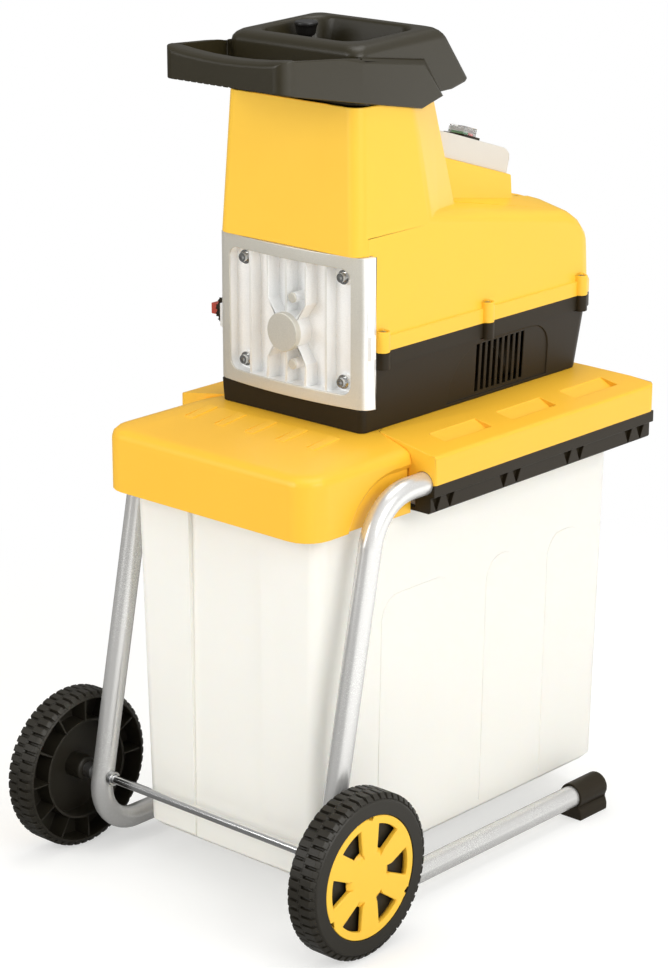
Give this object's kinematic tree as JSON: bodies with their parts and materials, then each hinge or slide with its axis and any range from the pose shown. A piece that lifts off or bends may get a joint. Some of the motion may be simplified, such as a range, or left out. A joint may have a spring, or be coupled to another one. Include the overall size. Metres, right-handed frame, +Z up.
{
  "type": "garden shredder",
  "caption": "Electric garden shredder on a wheeled tube frame, with a feed hopper, toothed drum behind a die-cast end plate, adjusting knob and pull-out collection box.",
  "frame": {"origin": "on the ground, at the centre of the object's bounding box seen from above", "axes": "+Z up, +Y from the wheel end with the die-cast plate to the operator's end with the switches, +X to the right of someone who looks along +Y"},
  "size_m": [0.4578, 0.622, 0.917],
  "materials": {
    "frame_paint": "silver-grey paint, satin",
    "chrome": "bright plated",
    "steel": "plain steel",
    "black_plastic": "fine grain, satin",
    "wheel_plastic": "moulded, satin",
    "yellow_plastic": "fine grain, satin",
    "deck_plastic": "fine grain, satin",
    "milky_plastic": "milky, smooth",
    "cast_alloy": "bead-blasted casting",
    "cast_frame": "as cast",
    "core_iron": "laminated",
    "copper": "enamelled wire",
    "knob_red": "satin",
    "switch_grey": "fine grain, satin",
    "button_red": "smooth",
    "button_green": "smooth",
    "clear_plastic": "clear, slightly milky",
    "can_alloy": "drawn can"
  },
  "bodies": {
    "chassis": {"frame_tube_left": "frame_paint", "frame_tube_right": "frame_paint", "foot_left": "black_plastic", "foot_right": "black_plastic", "wheel_axle": "chrome", "axle_collars": "steel", "axle_retainers": "steel", "deck": "deck_plastic", "rail_left": "black_plastic", "rail_right": "black_plastic", "frame_bolts": "steel", "interlock_switch": "black_plastic", "housing_base": "black_plastic", "housing_cover": "yellow_plastic", "housing_screws": "steel", "base_bolts": "steel", "end_plate": "cast_alloy", "end_plate_bolts": "chrome", "hopper": "black_plastic", "chute_duct": "black_plastic", "cutting_chamber": "cast_frame", "front_bearing": "steel", "rear_bearing": "steel", "gearbox_housing": "cast_alloy", "gearbox_cover": "cast_alloy", "intermediate_bearings": "steel", "motor_stator": "core_iron", "motor_windings": "copper", "motor_bearings": "steel", "motor_rear_shield": "cast_alloy", "through_bolts": "steel", "capacitor": "can_alloy", "switch_box": "switch_grey", "switch_plate": "black_plastic", "power_inlet": "black_plastic"},
    "wheel_left": {"wheel_left": "wheel_plastic", "hubcap_left": "yellow_plastic"},
    "wheel_right": {"wheel_right": "wheel_plastic", "hubcap_right": "yellow_plastic"},
    "box": {"collection_box": "milky_plastic"},
    "latch": {"box_latch": "knob_red"},
    "pusher": {"pusher": "black_plastic"},
    "rotor": {"motor_shaft": "steel", "rotor_core": "core_iron", "cooling_fan": "black_plastic"},
    "intermediate": {"intermediate_shaft": "steel", "intermediate_gear": "steel"},
    "cutter": {"cutter_drum": "steel", "cutter_shaft": "steel", "drum_key": "steel", "output_gear": "steel"},
    "counter": {"counter_plate": "steel"},
    "knob": {"adjusting_screw": "steel", "knob_skirt": "black_plastic", "knob_grip": "knob_red"},
    "start": {"start_button": "button_green"},
    "stop": {"stop_button": "button_red"},
    "guard": {"switch_guard": "clear_plastic"},
    "rocker": {"direction_rocker": "black_plastic"},
    "reset": {"reset_button": "black_plastic"}
  },
  "joints": [
    {"name": "wheel_left_turn", "type": "hinge", "parent": "chassis", "child": "wheel_left", "pos_m": [-0.21, -0.221, 0.09], "axis": [1, 0, 0], "continuous": true},
    {"name": "wheel_right_turn", "type": "hinge", "parent": "chassis", "child": "wheel_right", "pos_m": [0.21, -0.221, 0.09], "axis": [1, 0, 0], "continuous": true},
    {"name": "box_slide", "type": "slide", "parent": "chassis", "child": "box", "axis": [0, 1, 0], "range_m": [0, 0.45]},
    {"name": "latch_slide", "type": "slide", "parent": "box", "child": "latch", "axis": [0, 0, 1], "range_m": [-0.015, 0]},
    {"name": "pusher_lift", "type": "slide", "parent": "chassis", "child": "pusher", "axis": [0, 0, 1], "range_m": [0, 0.25]},
    {"name": "motor_turn", "type": "hinge", "parent": "chassis", "child": "rotor", "pos_m": [0, 0.15, 0.605], "axis": [0, 1, 0], "continuous": true},
    {"name": "intermediate_turn", "type": "hinge", "parent": "chassis", "child": "intermediate", "pos_m": [0, 0.06, 0.655], "axis": [0, 1, 0], "continuous": true},
    {"name": "drum_turn", "type": "hinge", "parent": "chassis", "child": "cutter", "pos_m": [0, -0.02, 0.605], "axis": [0, 1, 0], "continuous": true},
    {"name": "counter_slide", "type": "slide", "parent": "chassis", "child": "counter", "axis": [1, 0, 0], "range_m": [-0.003, 0.0005]},
    {"name": "knob_turn", "type": "hinge", "parent": "counter", "child": "knob", "pos_m": [-0.1, -0.057, 0.601], "axis": [1, 0, 0], "range_deg": [-540, 90]},
    {"name": "start_press", "type": "slide", "parent": "chassis", "child": "start", "axis": [0, 0.299, 0.9542], "range_m": [-0.0025, 0], "stiffness_N_per_m": 300, "springref_m": 0.001},
    {"name": "stop_press", "type": "slide", "parent": "chassis", "child": "stop", "axis": [0, 0.299, 0.9542], "range_m": [-0.0025, 0], "stiffness_N_per_m": 300, "springref_m": 0.001},
    {"name": "guard_lid", "type": "hinge", "parent": "chassis", "child": "guard", "pos_m": [0.0305, 0.13913, 0.78606], "axis": [1, 0, 0], "range_deg": [0, 85]},
    {"name": "rocker_tip", "type": "hinge", "parent": "chassis", "child": "rocker", "pos_m": [-0.0305, 0.14903, 0.78086], "axis": [1, 0, 0], "range_deg": [-10, 10]},
    {"name": "reset_press", "type": "slide", "parent": "chassis", "child": "reset", "axis": [0, 0.299, 0.9542], "range_m": [-0.0015, 0], "stiffness_N_per_m": 300, "springref_m": 0.001}
  ],
  "couplings": [
    {"joint": "intermediate_turn", "follows": "motor_turn", "ratio": -0.14286},
    {"joint": "drum_turn", "follows": "motor_turn", "ratio": 0.020408},
    {"joint": "knob_turn", "follows": "counter_slide", "rad_per_m": 3141.6}
  ]
}
